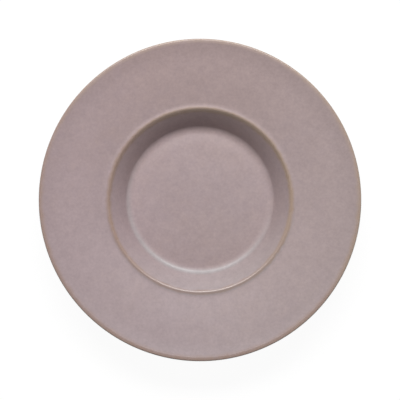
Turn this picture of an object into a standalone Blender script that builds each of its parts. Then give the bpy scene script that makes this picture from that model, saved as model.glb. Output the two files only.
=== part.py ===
"""A stoneware saucer: one turned clay body with a foot ring, and the four coats of glaze that lie on it.

The whole section is drawn once, as a path of corners from the middle of the cup well, over the ridge,
the rim and the lip, and back along the underside to the middle of the foot's recess. Each corner is
rounded by its own radius. A coat covers a stretch of that path. The clay is the same path, with a bed
sunk for each coat, and it shows bare on the ridge, on the lip and on the foot ring.
Lengths are in metres, angles in radians. The saucer stands on Z = 0 with its axis on Z.
"""

import math
from collections import namedtuple

import bmesh
import bpy
from mathutils import Vector

# Plan of the saucer, measured out from its axis.
SAUCER_RADIUS = 0.0825
WELL_FLOOR_RADIUS = 0.0378
CROWN_BREAK_RADIUS = 0.0160
FLOOR_EDGE_RUN = 0.0049
SWEEP_RUN = 0.0025
WALL_LOWER_RUN = 0.00475
WALL_UPPER_RUN = 0.0046
RIDGE_RUN = 0.0020
RIM_BREAK_RADIUS = 0.0620
LIP_RUN = 0.0069
LIP_CREST_WIDTH = 0.0018
FOOT_SET_OUT = 0.0026
FOOT_WIDTH = 0.0036
DOME_BREAK_RADIUS = 0.0180

# Heights, each from the one before it, and the thickness of the clay with its glaze.
RECESS_DEPTH = 0.0026
RECESS_DOME = 0.0010
FLOOR_THICKNESS = 0.0038
FLOOR_EDGE_FALL = 0.00052
FLOOR_CROWN = 0.00057
SWEEP_RISE = 0.00064
WALL_LOWER_RISE = 0.0071
WALL_UPPER_RISE = 0.0046
RIDGE_DROP = 0.00033
RIM_INNER_RISE = 0.0022
RIM_OUTER_RISE = 0.00195
LIP_RISE = 0.00108
LIP_EDGE_FALL = 0.00002
WALL_THICKNESS = 0.0044

# Radii that round the corners of the section.
CROWN_ROUND = 0.3000
FLOOR_EDGE_ROUND = 0.0500
SWEEP_ROUND = 0.0100
WELL_ROUND = 0.0052
WALL_ROUND = 0.0500
RIDGE_ROUND = 0.0018
RIM_HOLLOW = 0.0081
RIM_ROUND = 0.3000
BEND_ROUND = 0.0600
LIP_CREST_ROUND = 0.0047
LIP_ROUND = 0.00083
LIP_UNDER_ROUND = 0.0024
SHOULDER_ROUND = 0.0085
FOOT_TOP_ROUND = 0.0020
FOOT_ROUND = 0.0006
RECESS_ROUND = 0.0010
DOME_ROUND = 0.2000

# The glaze, the clearance between it and the clay, and how much clay it leaves bare.
GLAZE_THICKNESS = 0.0005
GLAZE_CLEARANCE = 0.0003
RIDGE_BARE_WIDTH = 0.0022
FOOT_BARE_WIDTH = 0.0005

# How finely the curves are cut.
TURN_STEPS = 48
ARC_STEP = math.radians(24)
LEAST_ARC_STEPS = 2
LEAST_TURN = math.radians(0.01)
FILLET_SHARE = 0.98
MERGE_DISTANCE = 1e-6
SHARP_ANGLE = math.radians(35)

CLAY_COLOUR = (0.398, 0.283, 0.225)
GLAZE_COLOUR = (0.413, 0.320, 0.323)
CLAY_ROUGHNESS = 0.80
GLAZE_ROUGHNESS = 0.40

Corner = namedtuple("Corner", "point round")
Place = namedtuple("Place", "point inward distance")
Coat = namedtuple("Coat", "name start end")


def inward_normal(start, end):
    """The unit vector from the path into the clay, which lies on the right of the way it runs."""
    run = (end - start).normalized()
    return Vector((run.y, -run.x))


def line_crossing(start, along, other_start, other_along):
    """Where two lines of the section cross, each given by a point and a direction."""
    reach = (other_start - start).cross(other_along) / along.cross(other_along)
    return start + along * reach


def height_on_line(start, along, radius):
    """The height of a line of the section at a distance from the axis."""
    return start.y + (radius - start.x) * along.y / along.x


def upper_corners():
    """The corners of the upper face, from the middle of the well to the edge of the lip."""
    sweep = Vector((WELL_FLOOR_RADIUS - SWEEP_RUN, RECESS_DEPTH + FLOOR_THICKNESS))
    floor_edge = sweep + Vector((-FLOOR_EDGE_RUN, FLOOR_EDGE_FALL))
    crown_height = floor_edge.y + FLOOR_CROWN
    floor_corner = sweep + Vector((SWEEP_RUN, SWEEP_RISE))
    wall_break = floor_corner + Vector((WALL_LOWER_RUN, WALL_LOWER_RISE))
    ridge = wall_break + Vector((WALL_UPPER_RUN, WALL_UPPER_RISE))
    rim_foot = ridge + Vector((RIDGE_RUN, -RIDGE_DROP))
    rim_break = Vector((RIM_BREAK_RADIUS, rim_foot.y + RIM_INNER_RISE))
    bend = Vector((SAUCER_RADIUS - LIP_RUN, rim_break.y + RIM_OUTER_RISE))
    lip_crest = Vector((SAUCER_RADIUS - LIP_CREST_WIDTH, bend.y + LIP_RISE))
    lip_top = Vector((SAUCER_RADIUS, lip_crest.y - LIP_EDGE_FALL))
    return {
        "well_middle": Corner(Vector((0.0, crown_height)), 0.0),
        "crown": Corner(Vector((CROWN_BREAK_RADIUS, crown_height)), CROWN_ROUND),
        "floor_edge": Corner(floor_edge, FLOOR_EDGE_ROUND),
        "sweep": Corner(sweep, SWEEP_ROUND),
        "floor_corner": Corner(floor_corner, WELL_ROUND),
        "wall_break": Corner(wall_break, WALL_ROUND),
        "ridge": Corner(ridge, RIDGE_ROUND),
        "rim_foot": Corner(rim_foot, RIM_HOLLOW),
        "rim_break": Corner(rim_break, RIM_ROUND),
        "bend": Corner(bend, BEND_ROUND),
        "lip_crest": Corner(lip_crest, LIP_CREST_ROUND),
        "lip_top": Corner(lip_top, LIP_ROUND),
    }


def lower_corners(upper):
    """The corners of the underside, which follows the rim and the well's wall at the clay's thickness."""
    wall_start, wall_end = upper["floor_corner"].point, upper["ridge"].point
    rim_start, rim_end = upper["rim_foot"].point, upper["bend"].point
    lip_end = upper["lip_crest"].point
    wall, rim, lip = wall_end - wall_start, rim_end - rim_start, lip_end - rim_end
    under_wall = wall_start + inward_normal(wall_start, wall_end) * WALL_THICKNESS
    under_rim = rim_start + inward_normal(rim_start, rim_end) * WALL_THICKNESS
    under_lip = rim_end + inward_normal(rim_end, lip_end) * WALL_THICKNESS
    foot_outer = WELL_FLOOR_RADIUS + FOOT_SET_OUT
    foot_inner = foot_outer - FOOT_WIDTH
    dome_height = RECESS_DEPTH + RECESS_DOME
    lip_bottom = Vector((SAUCER_RADIUS, height_on_line(under_lip, lip, SAUCER_RADIUS)))
    foot_top = Vector((foot_outer, height_on_line(under_wall, wall, foot_outer)))
    return {
        "lip_bottom": Corner(lip_bottom, LIP_UNDER_ROUND),
        "under_bend": Corner(line_crossing(under_lip, lip, under_rim, rim), BEND_ROUND),
        "shoulder": Corner(line_crossing(under_rim, rim, under_wall, wall), SHOULDER_ROUND),
        "foot_top": Corner(foot_top, FOOT_TOP_ROUND),
        "foot_outer": Corner(Vector((foot_outer, 0.0)), FOOT_ROUND),
        "foot_inner": Corner(Vector((foot_inner, 0.0)), FOOT_ROUND),
        "recess_corner": Corner(Vector((foot_inner, RECESS_DEPTH)), RECESS_ROUND),
        "dome": Corner(Vector((DOME_BREAK_RADIUS, dome_height)), DOME_ROUND),
        "recess_middle": Corner(Vector((0.0, dome_height)), 0.0),
    }


def turning(before, corner, after):
    """The signed angle that the path turns at a corner, positive to the left."""
    arriving = corner.point - before.point
    leaving = after.point - corner.point
    return math.atan2(arriving.cross(leaving), arriving.dot(leaving))


def tangent_lengths(path):
    """How far each corner's arc reaches along its sides, less where two arcs share a short side."""
    wanted = [0.0] * len(path)
    for index in range(1, len(path) - 1):
        turn = turning(*path[index - 1:index + 2])
        wanted[index] = path[index].round * math.tan(abs(turn) / 2)
    share = [1.0] * len(path)
    for index in range(len(path) - 1):
        side = (path[index + 1].point - path[index].point).length * FILLET_SHARE
        needed = wanted[index] + wanted[index + 1]
        if needed > side:
            share[index] = min(share[index], side / needed)
            share[index + 1] = min(share[index + 1], side / needed)
    return [length * part for length, part in zip(wanted, share)]


def arc_points(before, corner, after, reach):
    """Points on the arc that rounds a corner, from one tangent point to the other."""
    turn = turning(before, corner, after)
    if abs(turn) < LEAST_TURN:
        return [corner.point]
    start = corner.point + (before.point - corner.point).normalized() * reach
    radius = reach / math.tan(abs(turn) / 2)
    side = -math.copysign(radius, turn)
    centre = start + inward_normal(before.point, corner.point) * side
    steps = max(LEAST_ARC_STEPS, math.ceil(abs(turn) / ARC_STEP))
    spoke = start - centre
    points = []
    for step in range(steps + 1):
        angle = turn * step / steps
        points.append(centre + Vector((
            spoke.x * math.cos(angle) - spoke.y * math.sin(angle),
            spoke.x * math.sin(angle) + spoke.y * math.cos(angle),
        )))
    return points


def rounded_path(corners):
    """The section's points, and the first and last point of each rounded corner by its name."""
    path = list(corners.values())
    reaches = tangent_lengths(path)
    points = [path[0].point]
    arcs = {}
    for index, name in enumerate(list(corners)[1:-1], start=1):
        arc = arc_points(*path[index - 1:index + 2], reaches[index])
        arcs[name] = (len(points), len(points) + len(arc) - 1)
        points.extend(arc)
    points.append(path[-1].point)
    return points, arcs


def measured_path(points):
    """Each point with its way into the clay, scaled to sink both sides alike, and its distance."""
    normals = [inward_normal(start, end) for start, end in zip(points, points[1:])]
    places = []
    distance = 0.0
    for index, point in enumerate(points):
        before = normals[max(index - 1, 0)]
        after = normals[min(index, len(normals) - 1)]
        middle = (before + after).normalized()
        if index:
            distance += (point - points[index - 1]).length
        places.append(Place(point, middle / middle.dot(before), distance))
    return places


def place_at(places, distance):
    """The place on the path at a distance along it."""
    for start, end in zip(places, places[1:]):
        if distance <= end.distance:
            share = (distance - start.distance) / (end.distance - start.distance)
            return Place(start.point.lerp(end.point, share), start.inward.lerp(end.inward, share), distance)
    return places[-1]


def stretch(places, start, end):
    """The places between two distances along the path."""
    inner = [place for place in places if start < place.distance < end]
    return [place_at(places, start), *inner, place_at(places, end)]


def sunk(stretch_places, depth):
    """Points that lie a depth below a stretch of the path."""
    return [place.point + place.inward * depth for place in stretch_places]


def glaze_coats(places, arcs):
    """The four coats, each with its start and end along the path."""
    total = places[-1].distance
    ridge_turn = places[arcs["ridge"][0]].distance
    lip_start = places[arcs["lip_crest"][0]].distance
    lip_end = places[arcs["lip_bottom"][1]].distance
    foot_start = places[arcs["foot_outer"][0]].distance
    foot_end = places[arcs["foot_inner"][1]].distance
    return [
        Coat("well_glaze", 0.0, ridge_turn - RIDGE_BARE_WIDTH / 2),
        Coat("rim_glaze", ridge_turn + RIDGE_BARE_WIDTH / 2, lip_start),
        Coat("underside_glaze", lip_end, foot_start - FOOT_BARE_WIDTH),
        Coat("foot_recess_glaze", foot_end + FOOT_BARE_WIDTH, total),
    ]


def coat_section(places, coat):
    """The section of a coat: its face, and its back at the glaze's thickness."""
    covered = stretch(places, coat.start, coat.end)
    return sunk(covered, 0.0) + sunk(covered, GLAZE_THICKNESS)[::-1]


def body_section(places, coats):
    """The section of the clay: bare face, with a bed for each coat that clears its back and its ends."""
    total = places[-1].distance
    points = []
    reached = 0.0
    for coat in coats:
        bed_start = max(coat.start - GLAZE_CLEARANCE, 0.0)
        bed_end = min(coat.end + GLAZE_CLEARANCE, total)
        if bed_start > reached:
            points += sunk(stretch(places, reached, bed_start), 0.0)
        points += sunk(stretch(places, bed_start, bed_end), GLAZE_THICKNESS + GLAZE_CLEARANCE)
        reached = bed_end
    return points


def turned_mesh(name, section):
    """A closed mesh made by turning a section about Z, with its poles closed where it meets the axis."""
    mesh_maker = bmesh.new()
    verts = [mesh_maker.verts.new((point.x, 0.0, point.y)) for point in section]
    edges = [mesh_maker.edges.new(pair) for pair in zip(verts, verts[1:])]
    if section[0].x > MERGE_DISTANCE:
        edges.append(mesh_maker.edges.new((verts[-1], verts[0])))
    bmesh.ops.spin(
        mesh_maker,
        geom=verts + edges,
        axis=(0.0, 0.0, 1.0),
        cent=(0.0, 0.0, 0.0),
        angle=math.tau,
        steps=TURN_STEPS,
        use_merge=True,
    )
    bmesh.ops.remove_doubles(mesh_maker, verts=mesh_maker.verts, dist=MERGE_DISTANCE)
    bmesh.ops.recalc_face_normals(mesh_maker, faces=mesh_maker.faces)
    mesh = bpy.data.meshes.new(name)
    mesh_maker.to_mesh(mesh)
    mesh_maker.free()
    mesh.shade_smooth()
    mesh.set_sharp_from_angle(angle=SHARP_ANGLE)
    return mesh


def ceramic_material(name, colour, roughness):
    """A plain ceramic surface."""
    material = bpy.data.materials.new(name)
    material.use_nodes = True
    surface = material.node_tree.nodes["Principled BSDF"]
    surface.inputs["Base Color"].default_value = (*colour, 1.0)
    surface.inputs["Roughness"].default_value = roughness
    surface.inputs["Metallic"].default_value = 0.0
    material.diffuse_color = (*colour, 1.0)
    return material


def add_piece(name, section, material, parent):
    """One sub-part of the saucer, turned from its section."""
    mesh = turned_mesh(name, section)
    mesh.materials.append(material)
    piece = bpy.data.objects.new(name, mesh)
    piece.parent = parent
    bpy.context.scene.collection.objects.link(piece)
    return piece


def clear_scene():
    for item in list(bpy.data.objects):
        bpy.data.objects.remove(item, do_unlink=True)


def main():
    clear_scene()
    saucer = bpy.data.objects.new("saucer", None)
    bpy.context.scene.collection.objects.link(saucer)
    upper = upper_corners()
    points, arcs = rounded_path({**upper, **lower_corners(upper)})
    places = measured_path(points)
    coats = glaze_coats(places, arcs)
    clay = ceramic_material("bare_stoneware", CLAY_COLOUR, CLAY_ROUGHNESS)
    add_piece("stoneware_body", body_section(places, coats), clay, saucer)
    for coat in coats:
        glaze = ceramic_material(coat.name, GLAZE_COLOUR, GLAZE_ROUGHNESS)
        add_piece(coat.name, coat_section(places, coat), glaze, saucer)


main()
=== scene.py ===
"""Looks of a stoneware saucer: the turned clay body, four coats of mauve glaze on it, and a photo stage.

The section is drawn as one path of corners, from the middle of the cup well, over the ridge, the rim and
the lip, and back along the underside to the middle of the foot's recess. Each corner is rounded by its own
radius. A coat of glaze covers a stretch of that path, and the clay shows between the coats.
Lengths are in metres. The saucer stands on Z = 0 with its axis on Z.
"""

import math
from collections import namedtuple

import bmesh
import bpy
from bpy.props import FloatProperty, FloatVectorProperty, IntProperty, PointerProperty
from bpy.types import Operator, Panel, PropertyGroup
from mathutils import Matrix, Vector, noise


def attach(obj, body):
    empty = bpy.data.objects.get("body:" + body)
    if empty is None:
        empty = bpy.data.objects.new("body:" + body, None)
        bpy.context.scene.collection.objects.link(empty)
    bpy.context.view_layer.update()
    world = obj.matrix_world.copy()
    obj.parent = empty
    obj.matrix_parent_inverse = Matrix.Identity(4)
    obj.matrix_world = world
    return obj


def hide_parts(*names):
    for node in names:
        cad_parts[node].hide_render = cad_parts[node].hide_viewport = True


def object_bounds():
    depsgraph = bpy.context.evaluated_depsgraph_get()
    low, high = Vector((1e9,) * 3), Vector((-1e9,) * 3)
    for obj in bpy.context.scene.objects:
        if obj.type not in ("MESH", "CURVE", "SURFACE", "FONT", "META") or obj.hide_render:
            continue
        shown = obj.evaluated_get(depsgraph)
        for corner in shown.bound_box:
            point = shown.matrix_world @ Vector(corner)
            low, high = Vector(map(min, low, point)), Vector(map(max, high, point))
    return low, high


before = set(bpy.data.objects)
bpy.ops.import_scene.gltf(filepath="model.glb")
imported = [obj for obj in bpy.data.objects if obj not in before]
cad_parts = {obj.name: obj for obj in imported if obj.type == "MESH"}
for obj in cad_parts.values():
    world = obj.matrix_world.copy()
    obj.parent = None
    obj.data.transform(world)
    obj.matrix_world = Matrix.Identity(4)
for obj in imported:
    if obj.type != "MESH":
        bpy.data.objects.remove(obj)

bl_info = {
    "name": "Stoneware saucer",
    "version": (1, 0, 0),
    "blender": (4, 5, 0),
    "location": "3D View > Sidebar > Saucer",
    "description": "Turns the clay of a saucer, coats it in mauve glaze and sets it on a photo stage",
    "category": "Add Mesh",
}

CAD_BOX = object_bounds()
BODY = "root"
UNDER_GLAZE = "under_glaze"

SHARP_ANGLE = math.radians(35)
MERGE_DISTANCE = 1e-6
FILLET_SHARE = 0.98
LEAST_TURN = math.radians(0.01)
LEAST_ARC_STEPS = 2
SECTION_TURN = Vector((0.0, -1.0, 0.0))
FLOOR_FACETS = 64
WHITE = (1.0, 1.0, 1.0)

# Settings of the noise behind each finish, whose values lie about a middle of a half
NOISE_MIDDLE = 0.5
DRIFT_NOISE = {"detail": 1.0}
SOFT_NOISE = {"detail": 3.0}
PATCH_NOISE = {"detail": 4.0, "roughness": 0.7}
CLOUD_NOISE = {"detail": 5.0, "roughness": 0.7}
SPECKLE_NOISE = {"detail": 2.0, "roughness": 0.6}
GRIT_NOISE = {"detail": 3.0, "roughness": 0.7}

# Limits between which one finish goes over into another
COOL_TO_WARM = (0.55, 1.45)
ROSY_TO_GOLDEN = (0.1, 0.9)
CLEAN_TO_GRITTY = (0.58, 0.72)
GLOSSY_TO_DULL = (0.3, 0.7)
BACKDROP_TO_CEILING = (0.35, 0.70)

# How much more the clay's colour follows the flame than the glaze's
CLAY_FLAME_PULL = 2.0
# How strongly the grit shows where it is densest
GRIT_STRENGTH = 0.6
# How far the glaze's edge strays, as a share of the stray's span
STRAY_SHARE = 0.5

# Distance between the rings of a Wave texture at a scale of 1, and how the rings wander
WAVE_RING = math.tau / 20
RING_WANDER = {"Distortion": 1.5, "Detail": 2.0, "Detail_Scale": 0.4}
# Takes the height out of a place
FLATTENED = (1.0, 1.0, 0.0)

# Places of a Mix node's factor and two inputs, for numbers and for colours, and of the mixed colour
MIX_NUMBERS = (0, 2, 3)
MIX_COLOURS = (0, 6, 7)
MIXED_COLOUR = 2

Corner = namedtuple("Corner", "point round")
Leg = namedtuple("Leg", "start end centre turn length")
Coat = namedtuple("Coat", "name start end")
# A ring about the axis, with the distances from it at which something is whole and gone, how much it
# narrows towards the back, and how far its middle is set back
Ring = namedtuple("Ring", "radius height near far lean shift")


def length(name, default, description):
    """A length that a user may change."""
    return FloatProperty(
        name=name, description=description, default=default, precision=5, unit="LENGTH", subtype="DISTANCE"
    )


def share(name, default, description):
    """A plain number between none and all."""
    return FloatProperty(
        name=name, description=description, default=default, min=0.0, max=1.0, subtype="FACTOR"
    )


def number(name, default, description, subtype="NONE"):
    """A number with no limits."""
    return FloatProperty(name=name, description=description, default=default, subtype=subtype)


def degrees(name, default, description):
    """An angle, with its default in degrees."""
    return number(name, math.radians(default), description, "ANGLE")


def colour(name, default, description):
    """A colour in linear light."""
    return FloatVectorProperty(
        name=name, description=description, default=default, size=3, min=0.0, max=1.0, subtype="COLOR"
    )


def direction(name, default, description):
    """A way across the saucer, with how fast something grows that way for each metre."""
    return FloatVectorProperty(
        name=name, description=description, default=default, size=3, subtype="DIRECTION"
    )


class SaucerSizes(PropertyGroup):
    """Sizes of the section, from the well out to the lip and back under to the foot ring."""

    saucer_radius: length("Saucer radius", CAD_BOX[1].x, "From the axis to the edge of the lip")
    well_floor_radius: length("Well floor radius", 0.0378, "To the corner of the floor and the well's wall")
    crown_break_radius: length("Crown break radius", 0.0160, "To where the flat of the floor starts to fall")
    floor_edge_run: length("Floor edge run", 0.0049, "Width of the steeper edge of the floor")
    sweep_run: length("Sweep run", 0.0025, "Width of the shallow sweep from the floor to its corner")
    wall_lower_run: length("Lower wall run", 0.00475, "How far the lower half of the well's wall leans out")
    wall_upper_run: length("Upper wall run", 0.0046, "How far the upper half of the well's wall leans out")
    ridge_run: length("Ridge run", 0.0020, "From the ridge out to the foot of the rim")
    rim_break_radius: length("Rim break radius", 0.0620, "To where the rim's slope eases")
    lip_run: length("Lip run", 0.0069, "Width of the turned-up lip")
    lip_crest_width: length("Lip crest width", 0.0018, "From the lip's crest out to its edge")
    foot_set_out: length("Foot set out", 0.0026, "How far the foot stands out past the well's floor")
    foot_width: length("Foot width", 0.0036, "Width of the foot ring")
    dome_break_radius: length("Dome break radius", 0.0180, "To where the dome of the recess starts to fall")

    recess_depth: length("Recess depth", 0.0026, "Depth of the recess inside the foot ring")
    recess_dome: length("Recess dome", 0.0010, "Rise of the recess in its middle")
    floor_thickness: length("Floor thickness", 0.0038, "Clay under the lowest ring of the floor")
    floor_edge_fall: length("Floor edge fall", 0.00052, "Fall of the floor over its edge")
    floor_crown: length("Floor crown", 0.00057, "Rise of the middle of the floor over its edge")
    sweep_rise: length("Sweep rise", 0.00064, "Rise of the shallow sweep")
    wall_lower_rise: length("Lower wall rise", 0.0071, "Rise of the lower half of the well's wall")
    wall_upper_rise: length("Upper wall rise", 0.0046, "Rise of the upper half of the well's wall")
    ridge_drop: length("Ridge drop", 0.00033, "Fall from the ridge to the foot of the rim")
    rim_inner_rise: length("Rim inner rise", 0.0022, "Rise of the inner part of the rim")
    rim_outer_rise: length("Rim outer rise", 0.00195, "Rise of the outer part of the rim")
    lip_rise: length("Lip rise", 0.00108, "Rise of the turned-up lip to its crest")
    lip_edge_fall: length("Lip edge fall", 0.00002, "Fall from the lip's crest to its edge")
    wall_thickness: length("Wall thickness", 0.0044, "Thickness of the clay with its glaze")

    crown_round: length("Crown round", 0.3000, "Radius between the floor's flat and its fall")
    floor_edge_round: length("Floor edge round", 0.0500, "Radius where the floor falls faster")
    sweep_round: length("Sweep round", 0.0100, "Radius where the floor turns up into the sweep")
    well_round: length("Well round", 0.0052, "Radius between floor and wall")
    wall_round: length("Wall round", 0.0500, "Radius of the slight bulge of the well's wall")
    ridge_round: length("Ridge round", 0.0018, "Radius of the ridge")
    rim_hollow: length("Rim hollow", 0.0081, "Radius of the hollow behind the ridge")
    rim_round: length("Rim round", 0.3000, "Radius where the rim's slope eases")
    bend_round: length("Bend round", 0.0600, "Radius where the lip turns up")
    lip_crest_round: length("Lip crest round", 0.0047, "Radius of the lip's crest")
    lip_round: length("Lip round", 0.00083, "Radius of the lip's upper edge")
    lip_under_round: length("Lip under round", 0.0024, "Radius of the lip's lower edge")
    shoulder_round: length("Shoulder round", 0.0085, "Radius under the ridge")
    foot_top_round: length("Foot top round", 0.0020, "Radius where the foot ring leaves the wall")
    foot_round: length("Foot round", 0.0006, "Radius of the foot ring's edges")
    recess_round: length("Recess round", 0.0010, "Radius inside the foot ring")
    dome_round: length("Dome round", 0.2000, "Radius of the recess's dome")

    ridge_bare_width: length("Bare ridge width", 0.0022, "Clay left bare on the ridge")
    foot_bare_width: length("Bare foot width", 0.0005, "Clay left bare above the foot ring's rounding")
    coat_thickness: length("Coat thickness", 0.00025, "Thickness of the glaze")
    coat_edge: length("Coat edge", 0.00003, "Thickness that the glaze thins to at its edge")
    coat_feather: length("Coat feather", 0.0010, "Width over which the glaze thins out")
    bed_gap: length("Bed gap", 0.00004, "Room between the glaze and the clay under it")
    glaze_roll: length("Glaze roll", 0.00012, "Height of the roll of glaze at the foot ring")
    glaze_roll_width: length("Glaze roll width", 0.0016, "Width of the roll of glaze at the foot ring")
    sway: length("Sway", 0.00005, "How far the turned surface strays from true")
    sway_span: length("Sway span", 0.028, "Distance over which it strays")

    turn_steps: IntProperty(name="Turn steps", description="Facets round the saucer", default=192, min=24)
    arc_step: degrees("Arc step", 4.5, "Largest turn of one facet on a rounded corner")
    facet_length: length("Facet length", 0.0022, "Largest length of one facet on a straight stretch")


class GlazeFinish(PropertyGroup):
    """Colours and surface of the mauve glaze."""

    warm: colour("Warm mauve", (0.4205, 0.3145, 0.3075), "Colour of the glaze on the side nearer the flame")
    cool: colour("Cool mauve", (0.4115, 0.3145, 0.3260), "Colour of the glaze on the far side")
    # Greyer mauve: a tint towards the front right, and the colour of the painted sheen on the well's front
    # wall and of the painted highlight in its corner
    grey_and_sheen: colour("Thick mauve", (0.383, 0.356, 0.360), "Greyer colour of the glaze where it lies thick")
    flame_side: direction("Flame side", (3.0, 3.0, 0.0), "Which way the glaze grows warmer")
    # Share of the greyer mauve, which grows towards the front right
    depth: share("Depth", 0.11, "Share of the thick glaze's colour in the middle of the saucer")
    depth_side: direction("Depth side", (1.5, -0.87, 0.0), "Which way the glaze grows thicker")
    # Painted sheen: greyer mauve on the well's wall, growing towards the front, where the wall faces the
    # lamp; it also covers the bare ridge line there with glaze
    wall_sheen: number(
        "Wall depth", -0.093, "Thicker glaze on the wall, counted at the axis: below 0, it starts further out"
    )
    wall_sheen_side: direction("Wall side", (1.55, -9.6, 0.0), "Which way the glaze on the wall grows thicker")
    wall_sheen_reach: length("Wall reach", 0.0082, "Distance from the wall's middle within which it is thicker")
    wall_end: length("Wall end", 0.0092, "Distance from the wall's middle at which it is no thicker")
    # Painted highlight: greyer mauve in the corner of the well, growing towards the front left, where the
    # lamp's highlight falls
    pool: share("Pool", 0.16, "Pooled glaze in the corner of the well, counted at the axis")
    corner_highlight_side: direction("Pool side", (-5.6, -9.5, 0.0), "Which way the pool grows")
    corner_highlight_line: share("Pool line", 0.34, "Where the pool is deepest, from the floor's side to the wall's")
    corner_highlight_reach: length("Pool reach", 0.0026, "Distance from there at which the pool ends")
    drift_span: length("Drift span", 0.060, "Size of the slow drift in colour")
    patch_span: length("Patch span", 0.0060, "Size of the warmer and cooler patches")
    mottle: share("Mottle", 0.15, "How much the cloudy mottle lightens and darkens the glaze")
    mottle_span: length("Mottle span", 0.0045, "Size of the largest clouds of the mottle")
    speckle: share("Speckle", 0.13, "How much the fine speckle lightens and darkens the glaze")
    speckle_span: length("Speckle span", 0.0013, "Size of the spots of the fine speckle")
    thin_shade: share("Thin shade", 0.058, "How much darker the glaze is where it thins towards the lip")
    thin_reach: length("Thin reach", 0.014, "Distance from the lip's edge at which it has its full depth")
    roughness: share("Roughness", 0.40, "Roughness of the satin glaze")
    roughness_spread: share("Roughness spread", 0.05, "How much the roughness varies")
    gloss_span: length("Gloss span", 0.012, "Size of the glossier and duller patches")
    peel: length("Peel", 0.000016, "Height of the fine ripple in the glaze")
    peel_span: length("Peel span", 0.0022, "Size of the fine ripple in the glaze")
    ring_span: length("Ring span", 0.0012, "Distance between the turning rings of the underside")
    ring_height: length("Ring height", 0.000008, "Height of the turning rings of the underside")


class ClayFinish(PropertyGroup):
    """Colours and surface of the clay where the glaze breaks or stops."""

    golden: colour("Golden clay", (0.402, 0.292, 0.223), "Colour of the bare line nearer the flame")
    rosy: colour("Rosy clay", (0.368, 0.253, 0.209), "Colour of the bare line on the far side")
    raw: colour("Raw clay", (0.430, 0.320, 0.235), "Colour of the unglazed foot ring")
    grit: colour("Grit", (0.150, 0.095, 0.065), "Colour of the dark grains in the clay")
    patch_span: length("Patch span", 0.020, "Size of the golden and rosy patches along the bare lines")
    stray_span: length("Stray span", 0.0032, "Size of the unevenness of the glaze's edge")
    ridge_line: share("Ridge line", 0.15, "Where the bare line runs, from the wall's side to the rim's")
    ridge_bare: length("Ridge bare", 0.0003, "Distance from the ridge line within which the clay is bare")
    ridge_faded: length("Ridge faded", 0.0024, "Distance from the ridge line at which the glaze is whole")
    # Painted highlight, in part: the bare ridge line narrows and sits further out at the front, where the
    # lamp's highlight falls on it, so less clay colour shows there
    ridge_lean: number(
        "Ridge lean", -0.010, "How much the bare ridge narrows towards the back, per metre: below 0, widens"
    )
    ridge_shift: length("Ridge shift", -0.0008, "How far the bare ridge is set back: below 0, forward")
    lip_bare: length("Lip bare", 0.0008, "Distance from the lip's edge within which the clay is bare")
    lip_faded: length("Lip faded", 0.0036, "Distance from the lip's edge at which the glaze is whole")
    # Painted highlight: the bare lip narrows towards the back, where its edge faces the lamp and catches the
    # highlight
    lip_lean: number("Lip lean", 0.0045, "How much the bare lip narrows towards the back, per metre")
    foot_bare: length("Foot bare", 0.0020, "Distance from the foot's middle within which the clay is bare")
    foot_faded: length("Foot faded", 0.0026, "Distance from the foot's middle at which the glaze is whole")
    roughness: share("Roughness", 0.27, "Roughness of the bare line on ridge and lip")
    gloss: share("Gloss", 0.65, "Strength of the clay's reflection, a half being that of plain glass")
    raw_roughness: share("Raw roughness", 0.85, "Roughness of the foot ring")
    grain: length("Grain", 0.00003, "Height of the clay's grain")
    grain_span: length("Grain span", 0.0006, "Size of the clay's grain")


class StageSettings(PropertyGroup):
    """Camera, lamps and floor."""

    frame_width: length("Frame width", 0.2048, "Width that the picture takes in at the height of the lip")
    frame_height: length("Frame height", 0.0217, "Height over the floor of the saucer's widest edge")
    lens: number("Lens", 200.0, "Focal length in millimetres", "DISTANCE_CAMERA")
    sensor: number("Sensor", 36.0, "Sensor width in millimetres", "DISTANCE_CAMERA")
    key_power: number("Key power", 12.8, "Power of the window lamp in watts", "POWER")
    key_width: length("Key width", 0.90, "Width of the window lamp")
    key_height: length("Key height", 0.36, "Height of the window lamp")
    key_distance: length("Key distance", 1.07, "Distance of the window lamp")
    key_elevation: degrees("Key elevation", 52.4, "Angle of the window lamp above the floor")
    key_bearing: degrees("Key bearing", 0.7, "Bearing of the window lamp, round from the back of the saucer")
    sky: number("Sky", 0.092, "Strength of the light from all round")
    ceiling: number("Ceiling", 0.54, "Brightness of the ceiling that gloss shows")
    floor_glow: share("Floor glow", 0.95, "White that the camera sees on the floor in any light")
    floor_shade: share("Floor shade", 0.08, "White that the camera sees only where the lamps reach")
    floor_bounce: share("Floor bounce", 0.80, "How much light the floor throws back on the saucer")
    floor_radius: length("Floor radius", 4.0, "Radius of the floor")


def inward_normal(start, end):
    """The unit vector from the path into the clay, which lies on the right of the way it runs."""
    run = (end - start).normalized()
    return Vector((run.y, -run.x))


def line_crossing(start, along, other_start, other_along):
    """Where two lines of the section cross, each given by a point and a direction."""
    reach = (other_start - start).cross(other_along) / along.cross(other_along)
    return start + along * reach


def height_on_line(start, along, radius):
    """The height of a line of the section at a distance from the axis."""
    return start.y + (radius - start.x) * along.y / along.x


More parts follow.
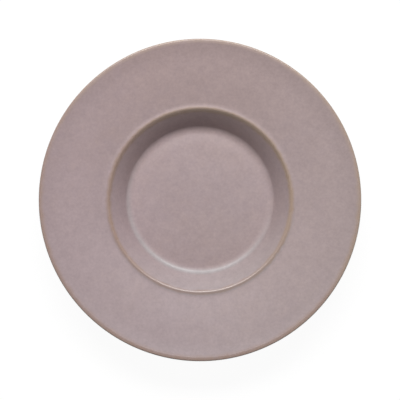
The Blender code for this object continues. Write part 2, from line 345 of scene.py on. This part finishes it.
def upper_corners(sizes):
    """The corners of the upper face, from the middle of the well to the edge of the lip."""
    sweep = Vector((sizes.well_floor_radius - sizes.sweep_run, sizes.recess_depth + sizes.floor_thickness))
    floor_edge = sweep + Vector((-sizes.floor_edge_run, sizes.floor_edge_fall))
    crown_height = floor_edge.y + sizes.floor_crown
    floor_corner = sweep + Vector((sizes.sweep_run, sizes.sweep_rise))
    wall_break = floor_corner + Vector((sizes.wall_lower_run, sizes.wall_lower_rise))
    ridge = wall_break + Vector((sizes.wall_upper_run, sizes.wall_upper_rise))
    rim_foot = ridge + Vector((sizes.ridge_run, -sizes.ridge_drop))
    rim_break = Vector((sizes.rim_break_radius, rim_foot.y + sizes.rim_inner_rise))
    bend = Vector((sizes.saucer_radius - sizes.lip_run, rim_break.y + sizes.rim_outer_rise))
    lip_crest = Vector((sizes.saucer_radius - sizes.lip_crest_width, bend.y + sizes.lip_rise))
    lip_top = Vector((sizes.saucer_radius, lip_crest.y - sizes.lip_edge_fall))
    return {
        "well_middle": Corner(Vector((0.0, crown_height)), 0.0),
        "crown": Corner(Vector((sizes.crown_break_radius, crown_height)), sizes.crown_round),
        "floor_edge": Corner(floor_edge, sizes.floor_edge_round),
        "sweep": Corner(sweep, sizes.sweep_round),
        "floor_corner": Corner(floor_corner, sizes.well_round),
        "wall_break": Corner(wall_break, sizes.wall_round),
        "ridge": Corner(ridge, sizes.ridge_round),
        "rim_foot": Corner(rim_foot, sizes.rim_hollow),
        "rim_break": Corner(rim_break, sizes.rim_round),
        "bend": Corner(bend, sizes.bend_round),
        "lip_crest": Corner(lip_crest, sizes.lip_crest_round),
        "lip_top": Corner(lip_top, sizes.lip_round),
    }


def lower_corners(sizes, upper):
    """The corners of the underside, which follows the rim and the well's wall at the clay's thickness."""
    wall_start, wall_end = upper["floor_corner"].point, upper["ridge"].point
    rim_start, rim_end = upper["rim_foot"].point, upper["bend"].point
    lip_end = upper["lip_crest"].point
    wall, rim, lip = wall_end - wall_start, rim_end - rim_start, lip_end - rim_end
    thickness = sizes.wall_thickness
    under_wall = wall_start + inward_normal(wall_start, wall_end) * thickness
    under_rim = rim_start + inward_normal(rim_start, rim_end) * thickness
    under_lip = rim_end + inward_normal(rim_end, lip_end) * thickness
    foot_outer = sizes.well_floor_radius + sizes.foot_set_out
    foot_inner = foot_outer - sizes.foot_width
    dome_height = sizes.recess_depth + sizes.recess_dome
    lip_bottom = Vector((sizes.saucer_radius, height_on_line(under_lip, lip, sizes.saucer_radius)))
    foot_top = Vector((foot_outer, height_on_line(under_wall, wall, foot_outer)))
    return {
        "lip_bottom": Corner(lip_bottom, sizes.lip_under_round),
        "under_bend": Corner(line_crossing(under_lip, lip, under_rim, rim), sizes.bend_round),
        "shoulder": Corner(line_crossing(under_rim, rim, under_wall, wall), sizes.shoulder_round),
        "foot_top": Corner(foot_top, sizes.foot_top_round),
        "foot_outer": Corner(Vector((foot_outer, 0.0)), sizes.foot_round),
        "foot_inner": Corner(Vector((foot_inner, 0.0)), sizes.foot_round),
        "recess_corner": Corner(Vector((foot_inner, sizes.recess_depth)), sizes.recess_round),
        "dome": Corner(Vector((sizes.dome_break_radius, dome_height)), sizes.dome_round),
        "recess_middle": Corner(Vector((0.0, dome_height)), 0.0),
    }


def turning(before, corner, after):
    """The signed angle that the path turns at a corner, positive to the left."""
    arriving = corner.point - before.point
    leaving = after.point - corner.point
    return math.atan2(arriving.cross(leaving), arriving.dot(leaving))


def tangent_lengths(path):
    """How far each corner's arc reaches along its sides, less where two arcs share a short side."""
    wanted = [0.0] * len(path)
    for index in range(1, len(path) - 1):
        turn = turning(*path[index - 1:index + 2])
        wanted[index] = path[index].round * math.tan(abs(turn) / 2)
    part = [1.0] * len(path)
    for index in range(len(path) - 1):
        side = (path[index + 1].point - path[index].point).length * FILLET_SHARE
        needed = wanted[index] + wanted[index + 1]
        if needed > side:
            part[index] = min(part[index], side / needed)
            part[index + 1] = min(part[index + 1], side / needed)
    return [reach * kept for reach, kept in zip(wanted, part)]


def straight_leg(start, end):
    """A straight leg of the section."""
    return Leg(start, end, None, 0.0, (end - start).length)


def section_legs(sizes):
    """The straight and rounded legs of the whole section, and where each corner starts and ends along it."""
    upper = upper_corners(sizes)
    corners = {**upper, **lower_corners(sizes, upper)}
    path = list(corners.values())
    reaches = tangent_lengths(path)
    legs = []
    spans = {}
    last = path[0].point
    run = 0.0
    for index, name in enumerate(list(corners)[1:-1], start=1):
        before, corner, after = path[index - 1:index + 2]
        turn = turning(before, corner, after)
        reach = reaches[index]
        start = corner.point + (before.point - corner.point).normalized() * reach
        end = corner.point + (after.point - corner.point).normalized() * reach
        legs.append(straight_leg(last, start))
        run += legs[-1].length
        if abs(turn) > LEAST_TURN:
            radius = reach / math.tan(abs(turn) / 2)
            centre = start - inward_normal(before.point, corner.point) * math.copysign(radius, turn)
            legs.append(Leg(start, end, centre, turn, radius * abs(turn)))
            spans[name] = (run, run + legs[-1].length)
            run += legs[-1].length
        else:
            spans[name] = (run, run)
        last = end
    legs.append(straight_leg(last, path[-1].point))
    return legs, spans


def glaze_coats(sizes, legs, spans):
    """The four coats, each with its start and end along the section."""
    total = sum(leg.length for leg in legs)
    ridge_turn = spans["ridge"][0]
    half_bare = sizes.ridge_bare_width / 2
    return [
        Coat("well_glaze", 0.0, ridge_turn - half_bare),
        Coat("rim_glaze", ridge_turn + half_bare, spans["lip_crest"][0]),
        Coat("underside_glaze", spans["lip_bottom"][1], spans["foot_outer"][0] - sizes.foot_bare_width),
        Coat("foot_recess_glaze", spans["foot_inner"][1] + sizes.foot_bare_width, total),
    ]


def turned(spoke, angle):
    """A vector of the section turned to the left."""
    cosine, sine = math.cos(angle), math.sin(angle)
    return Vector((spoke.x * cosine - spoke.y * sine, spoke.x * sine + spoke.y * cosine))


def point_on_leg(leg, distance):
    """The point of a leg at a distance from its start."""
    part = distance / leg.length
    if leg.centre is None:
        return leg.start.lerp(leg.end, part)
    return leg.centre + turned(leg.start - leg.centre, leg.turn * part)


def place(point):
    """A point of the section in the saucer's frame."""
    return Vector((point.x, 0.0, point.y))


def drawn_on(maker, last):
    """A new vertex drawn on from the last one of a wire."""
    return bmesh.ops.extrude_vert_indiv(maker, verts=[last])["verts"][0]


def draw_stretch(maker, sizes, legs, start, end, first=None):
    """Draws a stretch of the section as a wire, leg by leg, and returns its vertices."""
    run = 0.0
    chain = [first] if first else []
    for leg in legs:
        near = max(start - run, 0.0)
        far = min(end - run, leg.length)
        run += leg.length
        if far - near < MERGE_DISTANCE:
            continue
        if not chain:
            chain.append(maker.verts.new(place(point_on_leg(leg, near))))
        if leg.centre is None:
            steps = math.ceil((far - near) / sizes.facet_length)
            stride = place(point_on_leg(leg, far) - point_on_leg(leg, near)) / steps
            for _ in range(steps):
                chain.append(drawn_on(maker, chain[-1]))
                bmesh.ops.translate(maker, verts=chain[-1:], vec=stride)
        else:
            angle = leg.turn * (far - near) / leg.length
            steps = max(LEAST_ARC_STEPS, math.ceil(abs(angle) / sizes.arc_step))
            stride = Matrix.Rotation(angle / steps, 3, SECTION_TURN)
            for _ in range(steps):
                chain.append(drawn_on(maker, chain[-1]))
                bmesh.ops.rotate(maker, verts=chain[-1:], cent=place(leg.centre), matrix=stride)
    return chain


def sink(chain, depths):
    """Moves the vertices of a wire into the clay, each by its own depth."""
    flat = [Vector((vert.co.x, vert.co.z)) for vert in chain]
    for index, vert in enumerate(chain):
        before = flat[max(index - 1, 0)]
        after = flat[min(index + 1, len(flat) - 1)]
        inward = inward_normal(before, after)
        if flat[index].x < MERGE_DISTANCE:
            inward = Vector((0.0, math.copysign(1.0, inward.y)))
        vert.co += place(inward * depths[index])


def edge_distances(chain, open_start, open_end):
    """How far each vertex of a wire is from the nearest open edge of its coat."""
    runs = [0.0]
    for before, after in zip(chain, chain[1:]):
        runs.append(runs[-1] + (after.co - before.co).length)
    from_start = runs if open_start else [math.inf] * len(runs)
    from_end = [runs[-1] - run if open_end else math.inf for run in runs]
    return [min(pair) for pair in zip(from_start, from_end)]


def opens(coat, legs):
    """Whether a coat has an open edge at its start and at its end: the middle of the saucer is none."""
    total = sum(leg.length for leg in legs)
    return coat.start > 0.0, coat.end < total - MERGE_DISTANCE


def roll_height(sizes, distance):
    """The height of the roll of glaze at a distance from the coat's edge."""
    part = distance / sizes.glaze_roll_width
    if part >= 1.0:
        return 0.0
    return sizes.glaze_roll * math.sin(math.pi * math.sqrt(part)) ** 2


def finished_mesh(maker, sizes, name):
    """Turns the drawn section about Z, lets it stray a little from true, and makes it a mesh."""
    bmesh.ops.spin(
        maker,
        geom=list(maker.verts) + list(maker.edges),
        cent=(0.0, 0.0, 0.0),
        axis=(0.0, 0.0, 1.0),
        angle=math.tau,
        steps=sizes.turn_steps,
        use_merge=True,
    )
    bmesh.ops.remove_doubles(maker, verts=maker.verts, dist=MERGE_DISTANCE)
    bmesh.ops.recalc_face_normals(maker, faces=maker.faces)
    foot = sizes.recess_depth
    for vert in maker.verts:
        lift = min(vert.co.z / foot, 1.0) * sizes.sway
        vert.co.z += lift * noise.noise(vert.co / sizes.sway_span)
    mesh = bpy.data.meshes.new(name)
    maker.to_mesh(mesh)
    maker.free()
    mesh.shade_smooth()
    mesh.set_sharp_from_angle(angle=SHARP_ANGLE)
    return mesh


def coat_mesh(sizes, legs, coat, rolls):
    """A closed coat of glaze: its face on the section, its back in the clay, thin at its open edges.

    It rolls up at its start or its end, or at neither.
    """
    maker = bmesh.new()
    open_start, open_end = opens(coat, legs)
    front = draw_stretch(maker, sizes, legs, coat.start, coat.end)
    back = draw_stretch(maker, sizes, legs, coat.start, coat.end)
    distances = edge_distances(front, open_start, open_end)
    thicknesses = []
    for distance in distances:
        part = min(distance / sizes.coat_feather, 1.0)
        thicknesses.append(sizes.coat_edge + (sizes.coat_thickness - sizes.coat_edge) * part)
    sink(back, thicknesses)
    if rolls:
        distances = edge_distances(front, rolls == "start", rolls == "end")
        sink(front, [-roll_height(sizes, distance) for distance in distances])
    if open_start:
        maker.edges.new((front[0], back[0]))
    if open_end:
        maker.edges.new((front[-1], back[-1]))
    return finished_mesh(maker, sizes, coat.name.replace("_glaze", "_coat"))


def clay_mesh(sizes, legs, coats):
    """The closed clay body: bare face between the coats, and a bed sunk under each coat."""
    maker = bmesh.new()
    under_glaze = maker.verts.layers.float.new(UNDER_GLAZE)
    deepest = sizes.coat_thickness + sizes.bed_gap
    # The bed falls faster than the coat thickens, so the two meet only at the coat's edge
    slope = sizes.coat_feather / 2
    reached = 0.0
    last = None
    for coat in coats:
        if coat.start > reached:
            last = draw_stretch(maker, sizes, legs, reached, coat.start, last)[-1]
        bed = draw_stretch(maker, sizes, legs, coat.start, coat.end, last)
        distances = edge_distances(bed, *opens(coat, legs))
        sink(bed, [deepest * min(distance / slope, 1.0) for distance in distances])
        for vert, distance in zip(bed, distances):
            if distance > MERGE_DISTANCE:
                vert[under_glaze] = 1.0
        last = bed[-1]
        reached = coat.end
    return finished_mesh(maker, sizes, "stoneware_clay")


def point_at(legs, distance):
    """The point of the section at a distance along it."""
    run = 0.0
    for leg in legs:
        if distance <= run + leg.length:
            return point_on_leg(leg, distance - run)
        run += leg.length
    return legs[-1].end


def bare_lines(sizes, clay):
    """The rings on which the clay shows, and how far from each the glaze is whole again."""
    legs, spans = section_legs(sizes)
    ridge_start, ridge_end = spans["ridge"]
    ridge = point_at(legs, ridge_start + (ridge_end - ridge_start) * clay.ridge_line)
    lip = point_at(legs, (spans["lip_top"][1] + spans["lip_bottom"][0]) / 2)
    foot = point_at(legs, (spans["foot_outer"][1] + spans["foot_inner"][0]) / 2)
    return {
        # The ridge's lean and shift and the lip's lean are painted highlight: less clay shows where the
        # lamp's highlight falls
        "ridge": Ring(ridge.x, ridge.y, clay.ridge_bare, clay.ridge_faded, clay.ridge_lean, clay.ridge_shift),
        "lip": Ring(lip.x, lip.y, clay.lip_bare, clay.lip_faded, clay.lip_lean, 0.0),
        "foot": Ring(foot.x, foot.y, clay.foot_bare, clay.foot_faded, 0.0, 0.0),
    }


def painted_sheen_rings(sizes, glaze):
    """The rings round which painted sheen and highlight lie as greyer glaze: on the well's wall and in the
    corner of its floor.
    """
    legs, spans = section_legs(sizes)
    corner_start, corner_end = spans["floor_corner"]
    wall = point_at(legs, (corner_end + spans["ridge"][0]) / 2)
    corner = point_at(legs, corner_start + (corner_end - corner_start) * glaze.corner_highlight_line)
    return {
        "wall": Ring(wall.x, wall.y, glaze.wall_sheen_reach, glaze.wall_end, 0.0, 0.0),
        "corner": Ring(corner.x, corner.y, 0.0, glaze.corner_highlight_reach, 0.0, 0.0),
    }


def add_node(tree, kind, settings=None, **sockets):
    """A shader node with its settings, and with its inputs set or linked by name."""
    made = tree.nodes.new(kind)
    for name, value in (settings or {}).items():
        setattr(made, name, value)
    for name, value in sockets.items():
        feed(tree, made.inputs[name.replace("_", " ")], value)
    return made


def feed(tree, socket, value):
    """Links an output to an input, or sets the input's own value."""
    if isinstance(value, bpy.types.NodeSocket):
        tree.links.new(value, socket)
    elif socket.type == "RGBA" and len(value) == 3:
        socket.default_value = (*value, 1.0)
    else:
        socket.default_value = value


def calculate(tree, operation, *values, clamp=False):
    """A Math node's result."""
    made = tree.nodes.new("ShaderNodeMath")
    made.operation = operation
    made.use_clamp = clamp
    for socket, value in zip(made.inputs, values):
        feed(tree, socket, value)
    return made.outputs[0]


def blend_colours(tree, factor, first, second, kind="MIX"):
    """A Mix node's colour."""
    made = tree.nodes.new("ShaderNodeMix")
    made.data_type = "RGBA"
    made.blend_type = kind
    for index, value in zip(MIX_COLOURS, (factor, first, second)):
        feed(tree, made.inputs[index], value)
    return made.outputs[MIXED_COLOUR]


def blend_values(tree, factor, first, second):
    """A Mix node's number."""
    made = tree.nodes.new("ShaderNodeMix")
    for index, value in zip(MIX_NUMBERS, (factor, first, second)):
        feed(tree, made.inputs[index], value)
    return made.outputs[0]


def ramp_between(tree, value, low, high, to_low=0.0, to_high=1.0):
    """A smooth step of a value from one limit to another."""
    made = tree.nodes.new("ShaderNodeMapRange")
    made.interpolation_type = "SMOOTHSTEP"
    for socket, given in zip(made.inputs[:5], (value, low, high, to_low, to_high)):
        feed(tree, socket, given)
    return made.outputs[0]


def mottle_noise(tree, where, span, detail=2.0, roughness=0.5):
    """Noise whose patches are about a span across, centred on a half."""
    made = add_node(
        tree, "ShaderNodeTexNoise", Vector=where, Scale=1.0 / span, Detail=detail, Roughness=roughness
    )
    return made.outputs["Fac"]


def away_from(tree, where, ring, stray=0.0):
    """How far a point is from a ring: 0 near the ring, 1 far from it."""
    parts = add_node(tree, "ShaderNodeSeparateXYZ", Vector=where)
    back = calculate(tree, "SUBTRACT", parts.outputs["Y"], ring.shift)
    flat = add_node(tree, "ShaderNodeCombineXYZ", X=parts.outputs["X"], Y=back)
    out = add_node(tree, "ShaderNodeVectorMath", {"operation": "LENGTH"}, Vector=flat.outputs[0])
    across = calculate(tree, "SUBTRACT", out.outputs["Value"], ring.radius)
    up = calculate(tree, "SUBTRACT", parts.outputs["Z"], ring.height)
    squares = calculate(
        tree, "ADD", calculate(tree, "MULTIPLY", across, across), calculate(tree, "MULTIPLY", up, up)
    )
    distance = calculate(tree, "ADD", calculate(tree, "SQRT", squares), stray)
    distance = calculate(tree, "MULTIPLY_ADD", parts.outputs["Y"], ring.lean, distance)
    return ramp_between(tree, distance, ring.near, ring.far)


def glaze_cover(tree, where, lines, stray_span):
    """How whole the glaze is at each point: it breaks on the ridge, the lip and the foot ring."""
    patch = mottle_noise(tree, where, stray_span, **SOFT_NOISE)
    off_middle = calculate(tree, "SUBTRACT", patch, NOISE_MIDDLE)
    stray = calculate(tree, "MULTIPLY", off_middle, stray_span * STRAY_SHARE)
    ridge, lip, foot = (away_from(tree, where, line, stray) for line in lines.values())
    return calculate(tree, "MINIMUM", calculate(tree, "MINIMUM", ridge, lip), foot)


def raw_share(tree, where, sizes):
    """1 on the unglazed foot ring, 0 on the rest of the clay."""
    height = add_node(tree, "ShaderNodeSeparateXYZ", Vector=where).outputs["Z"]
    return ramp_between(tree, height, sizes.recess_depth / 2, sizes.recess_depth, 1.0, 0.0)


def towards(tree, where, side):
    """How far a point lies towards a side, 0 on the axis."""
    made = add_node(tree, "ShaderNodeVectorMath", {"operation": "DOT_PRODUCT"}, Vector=where)
    made.inputs[1].default_value = side
    return made.outputs["Value"]


def painted_sheen_share(tree, where, ring, side, middle):
    """How much painted sheen, laid as greyer glaze, lies near a ring: it grows towards one side."""
    near = calculate(tree, "SUBTRACT", 1.0, away_from(tree, where, ring))
    grown = calculate(tree, "ADD", towards(tree, where, side), middle, clamp=True)
    return calculate(tree, "MULTIPLY", near, grown)


def clay_colour(tree, where, glaze, clay, raw):
    """The clay's colour: golden near the flame, rosy away from it, sandy on the foot ring, with grit."""
    patches = mottle_noise(tree, where, clay.patch_span, **SOFT_NOISE)
    slant = towards(tree, where, glaze.flame_side)
    flame = calculate(tree, "MULTIPLY_ADD", slant, CLAY_FLAME_PULL, patches)
    tone = blend_colours(tree, ramp_between(tree, flame, *ROSY_TO_GOLDEN), clay.rosy, clay.golden)
    tone = blend_colours(tree, raw, tone, clay.raw)
    grain = mottle_noise(tree, where, clay.grain_span, **GRIT_NOISE)
    grit = ramp_between(tree, grain, *CLEAN_TO_GRITTY, 0.0, GRIT_STRENGTH)
    return blend_colours(tree, grit, tone, clay.grit)


def mauve_colour(tree, where, glaze, lip, painted_sheen):
    """The glaze's colour: warmer near the flame, greyer towards the front right, with painted sheen and
    highlight as greyer glaze in the well, mottled, darker near the lip.
    """
    drift = mottle_noise(tree, where, glaze.drift_span, **DRIFT_NOISE)
    patch = mottle_noise(tree, where, glaze.patch_span, **PATCH_NOISE)
    patches = calculate(tree, "ADD", drift, patch)
    flame = calculate(tree, "ADD", towards(tree, where, glaze.flame_side), patches)
    tone = blend_colours(tree, ramp_between(tree, flame, *COOL_TO_WARM), glaze.cool, glaze.warm)
    # Greyer towards the front right
    depth = calculate(tree, "ADD", towards(tree, where, glaze.depth_side), glaze.depth, clamp=True)
    # The greyer mauve, also laid as painted sheen on the well's front wall and painted highlight in its
    # corner
    tone = blend_colours(tree, calculate(tree, "ADD", depth, painted_sheen, clamp=True), tone, glaze.grey_and_sheen)
    clouds = mottle_noise(tree, where, glaze.mottle_span, **CLOUD_NOISE)
    spots = mottle_noise(tree, where, glaze.speckle_span, **SPECKLE_NOISE)
    plain = 1.0 - glaze.mottle - glaze.speckle
    shade = calculate(tree, "MULTIPLY_ADD", clouds, glaze.mottle / NOISE_MIDDLE, plain)
    shade = calculate(tree, "MULTIPLY_ADD", spots, glaze.speckle / NOISE_MIDDLE, shade)
    thin_band = lip._replace(near=lip.far, far=glaze.thin_reach, lean=0.0)
    whole = away_from(tree, where, thin_band)
    fading = calculate(tree, "MULTIPLY_ADD", whole, glaze.thin_shade, 1.0 - glaze.thin_shade)
    shade = calculate(tree, "MULTIPLY", shade, fading)
    grey = add_node(tree, "ShaderNodeCombineColor", Red=shade, Green=shade, Blue=shade).outputs[0]
    return blend_colours(tree, 1.0, tone, grey, "MULTIPLY")


def turning_rings(tree, where, glaze):
    """The rings that the turning tool leaves on the underside, softened by the glaze."""
    flat = add_node(tree, "ShaderNodeVectorMath", {"operation": "MULTIPLY"}, Vector=where)
    flat.inputs[1].default_value = FLATTENED
    wave = add_node(
        tree,
        "ShaderNodeTexWave",
        {"wave_type": "RINGS", "rings_direction": "Z"},
        Vector=flat.outputs[0],
        Scale=WAVE_RING / glaze.ring_span,
        **RING_WANDER,
    )
    return calculate(tree, "MULTIPLY", wave.outputs["Fac"], glaze.ring_height)


def satin_roughness(tree, where, glaze, clay, raw, cover):
    """The roughness: it varies over the satin glaze, and is the clay's own where the glaze breaks."""
    patch = mottle_noise(tree, where, glaze.gloss_span, **SOFT_NOISE)
    smoothest = glaze.roughness - glaze.roughness_spread
    roughest = glaze.roughness + glaze.roughness_spread
    satin = ramp_between(tree, patch, *GLOSSY_TO_DULL, smoothest, roughest)
    bare = ramp_between(tree, raw, 0.0, 1.0, clay.roughness, clay.raw_roughness)
    return blend_values(tree, cover, bare, satin)


def fine_relief(tree, where, glaze, clay, cover, turned_under):
    """The fine relief in metres: a ripple in the glaze, turning rings underneath, and grain on the clay."""
    ripple = calculate(tree, "MULTIPLY", mottle_noise(tree, where, glaze.peel_span), glaze.peel)
    if turned_under:
        ripple = calculate(tree, "ADD", ripple, turning_rings(tree, where, glaze))
    grain = calculate(tree, "MULTIPLY", mottle_noise(tree, where, clay.grain_span), clay.grain)
    return blend_values(tree, cover, grain, ripple)


def ceramic_surface(name, scene, turned_under=False, beds=False):
    """Glaze that breaks to clay where it is thin. Glaze and clay pieces share it, so their edges match."""
    sizes, glaze, clay = scene.saucer_sizes, scene.saucer_glaze, scene.saucer_clay
    material = bpy.data.materials.new(name)
    material.use_nodes = True
    tree = material.node_tree
    surface = tree.nodes["Principled BSDF"]
    where = tree.nodes.new("ShaderNodeTexCoord").outputs["Object"]
    lines = bare_lines(sizes, clay)
    rings = painted_sheen_rings(sizes, glaze)
    # Painted sheen on the well's front wall and painted highlight in its corner, both laid as greyer glaze
    painted_wall_sheen = painted_sheen_share(tree, where, rings["wall"], glaze.wall_sheen_side, glaze.wall_sheen)
    painted_corner_highlight = painted_sheen_share(tree, where, rings["corner"], glaze.corner_highlight_side, glaze.pool)
    # The painted sheen on the wall also covers the bare ridge line at the front with glaze
    cover = calculate(tree, "MAXIMUM", glaze_cover(tree, where, lines, clay.stray_span), painted_wall_sheen)
    if beds:
        surface.inputs["Specular IOR Level"].default_value = clay.gloss
        under = add_node(tree, "ShaderNodeAttribute", {"attribute_name": UNDER_GLAZE}).outputs["Fac"]
        cover = calculate(tree, "MULTIPLY", cover, calculate(tree, "SUBTRACT", 1.0, under))
    raw = raw_share(tree, where, sizes)
    bare = clay_colour(tree, where, glaze, clay, raw)
    painted_sheen = calculate(tree, "ADD", painted_wall_sheen, painted_corner_highlight)
    mauve = mauve_colour(tree, where, glaze, lines["lip"], painted_sheen)
    feed(tree, surface.inputs["Base Color"], blend_colours(tree, cover, bare, mauve))
    feed(tree, surface.inputs["Roughness"], satin_roughness(tree, where, glaze, clay, raw, cover))
    relief = fine_relief(tree, where, glaze, clay, cover, turned_under)
    # The relief is in metres already, so the bump takes it as it is
    bump = add_node(tree, "ShaderNodeBump", Strength=1.0, Distance=1.0, Height=relief)
    feed(tree, surface.inputs["Normal"], bump.outputs[0])
    return material


def add_piece(context, mesh, material, node):
    """Puts a piece in the scene in place of its CAD node."""
    mesh.materials.append(material)
    piece = bpy.data.objects.new(mesh.name, mesh)
    context.scene.collection.objects.link(piece)
    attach(piece, BODY)
    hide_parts(node)


class SAUCER_OT_clay_body(Operator):
    """Turn the clay body, with a bed for each coat of glaze"""

    bl_idname = "saucer.clay_body"
    bl_label = "Clay body"

    def execute(self, context):
        scene = context.scene
        sizes = scene.saucer_sizes
        legs, spans = section_legs(sizes)
        mesh = clay_mesh(sizes, legs, glaze_coats(sizes, legs, spans))
        material = ceramic_surface("bare_clay", scene, beds=True)
        add_piece(context, mesh, material, "stoneware_body")
        return {"FINISHED"}


class SAUCER_OT_glaze_coats(Operator):
    """Lay the four coats of glaze on the clay"""

    bl_idname = "saucer.glaze_coats"
    bl_label = "Glaze coats"

    def execute(self, context):
        scene = context.scene
        sizes = scene.saucer_sizes
        legs, spans = section_legs(sizes)
        smooth = ceramic_surface("mauve_glaze_upper", scene)
        ringed = ceramic_surface("mauve_glaze_under", scene, turned_under=True)
        rolls = {"underside_glaze": "end", "foot_recess_glaze": "start"}
        for coat in glaze_coats(sizes, legs, spans):
            roll = rolls.get(coat.name)
            mesh = coat_mesh(sizes, legs, coat, roll)
            add_piece(context, mesh, ringed if roll else smooth, coat.name)
        return {"FINISHED"}


def seen_white(tree):
    """1 for rays from the camera, by mirror or through glass, 0 for the light that falls on the saucer."""
    path = tree.nodes.new("ShaderNodeLightPath").outputs
    seen = calculate(tree, "MAXIMUM", path["Is Camera Ray"], path["Is Glossy Ray"])
    return calculate(tree, "MAXIMUM", seen, path["Is Transmission Ray"])


def floor_material(stage):
    """A white floor that keeps a faint shadow, and throws back the light of a pale table."""
    material = bpy.data.materials.new("white_floor")
    material.use_nodes = True
    tree = material.node_tree
    tree.nodes.remove(tree.nodes["Principled BSDF"])
    glow = add_node(tree, "ShaderNodeEmission", Color=WHITE, Strength=stage.floor_glow)
    shade = add_node(tree, "ShaderNodeBsdfDiffuse", Color=(stage.floor_shade,) * 3)
    seen = tree.nodes.new("ShaderNodeAddShader")
    tree.links.new(glow.outputs[0], seen.inputs[0])
    tree.links.new(shade.outputs[0], seen.inputs[1])
    bounce = add_node(tree, "ShaderNodeBsdfDiffuse", Color=(stage.floor_bounce,) * 3)
    mix = tree.nodes.new("ShaderNodeMixShader")
    feed(tree, mix.inputs[0], seen_white(tree))
    tree.links.new(bounce.outputs[0], mix.inputs[1])
    tree.links.new(seen.outputs[0], mix.inputs[2])
    tree.links.new(mix.outputs[0], tree.nodes["Material Output"].inputs["Surface"])
    return material


def add_floor(context, stage):
    """A round floor under the saucer."""
    maker = bmesh.new()
    bmesh.ops.create_circle(maker, cap_ends=True, segments=FLOOR_FACETS, radius=stage.floor_radius)
    mesh = bpy.data.meshes.new("floor")
    maker.to_mesh(mesh)
    maker.free()
    mesh.materials.append(floor_material(stage))
    floor = bpy.data.objects.new("floor", mesh)
    context.scene.collection.objects.link(floor)


def add_sky(context, stage):
    """Soft light from all round, in front of a white backdrop that ends below a dim ceiling."""
    world = bpy.data.worlds.new("studio_sky")
    context.scene.world = world
    world.use_nodes = True
    tree = world.node_tree
    way = tree.nodes.new("ShaderNodeTexCoord").outputs["Generated"]
    height = add_node(tree, "ShaderNodeSeparateXYZ", Vector=way).outputs["Z"]
    backdrop = ramp_between(tree, height, *BACKDROP_TO_CEILING, 1.0, stage.ceiling)
    extra = calculate(tree, "MULTIPLY", calculate(tree, "SUBTRACT", backdrop, stage.sky), seen_white(tree))
    surface = tree.nodes["Background"]
    feed(tree, surface.inputs["Color"], WHITE)
    feed(tree, surface.inputs["Strength"], calculate(tree, "ADD", extra, stage.sky))


def add_key_lamp(context, stage):
    """The window lamp, high behind the saucer."""
    data = bpy.data.lights.new("window_lamp", "AREA")
    data.shape = "RECTANGLE"
    data.size = stage.key_width
    data.size_y = stage.key_height
    data.energy = stage.key_power
    lamp = bpy.data.objects.new("window_lamp", data)
    level = math.cos(stage.key_elevation)
    way = Vector((
        -math.sin(stage.key_bearing) * level,
        math.cos(stage.key_bearing) * level,
        math.sin(stage.key_elevation),
    ))
    lamp.location = way * stage.key_distance
    lamp.rotation_euler = way.to_track_quat("Z", "Y").to_euler()
    lamp.visible_camera = False
    context.scene.collection.objects.link(lamp)


def add_camera(context, stage):
    """A camera straight over the saucer."""
    data = bpy.data.cameras.new("overhead_camera")
    data.lens = stage.lens
    data.sensor_width = stage.sensor
    camera = bpy.data.objects.new("overhead_camera", data)
    height = stage.frame_height + stage.frame_width * stage.lens / stage.sensor
    camera.location = (0.0, 0.0, height)
    context.scene.collection.objects.link(camera)
    context.scene.camera = camera


class SAUCER_OT_stage(Operator):
    """Set up the floor, the light and the camera"""

    bl_idname = "saucer.stage"
    bl_label = "Photo stage"

    def execute(self, context):
        stage = context.scene.saucer_stage
        add_floor(context, stage)
        add_sky(context, stage)
        add_key_lamp(context, stage)
        add_camera(context, stage)
        context.scene.view_settings.view_transform = "Standard"
        return {"FINISHED"}


class SAUCER_PT_sidebar(Panel):
    """Lists what makes up the saucer and its stage"""

    bl_idname = "SAUCER_PT_sidebar"
    bl_label = "Stoneware saucer"
    bl_space_type = "VIEW_3D"
    bl_region_type = "UI"
    bl_category = "Saucer"

    def draw(self, context):
        for operator in OPERATORS:
            self.layout.operator(operator.bl_idname)
        for name in GROUPS:
            settings = getattr(context.scene, name)
            box = self.layout.box()
            box.label(text=settings.bl_rna.name)
            for prop in settings.bl_rna.properties:
                if prop.identifier not in ("rna_type", "name"):
                    box.prop(settings, prop.identifier)


OPERATORS = (SAUCER_OT_clay_body, SAUCER_OT_glaze_coats, SAUCER_OT_stage)
GROUPS = {
    "saucer_sizes": SaucerSizes,
    "saucer_glaze": GlazeFinish,
    "saucer_clay": ClayFinish,
    "saucer_stage": StageSettings,
}


def register():
    """Makes the settings, the operators and the panel known to Blender."""
    for group in GROUPS.values():
        bpy.utils.register_class(group)
    for name, group in GROUPS.items():
        setattr(bpy.types.Scene, name, PointerProperty(type=group))
    for operator in OPERATORS:
        bpy.utils.register_class(operator)
    bpy.utils.register_class(SAUCER_PT_sidebar)


def unregister():
    """Takes them out again."""
    bpy.utils.unregister_class(SAUCER_PT_sidebar)
    for operator in reversed(OPERATORS):
        bpy.utils.unregister_class(operator)
    for name in GROUPS:
        delattr(bpy.types.Scene, name)
    for group in reversed(GROUPS.values()):
        bpy.utils.unregister_class(group)


def main():
    """Makes the saucer and its stage."""
    register()
    bpy.ops.saucer.clay_body()
    bpy.ops.saucer.glaze_coats()
    bpy.ops.saucer.stage()


if __name__ == "__main__":
    main()
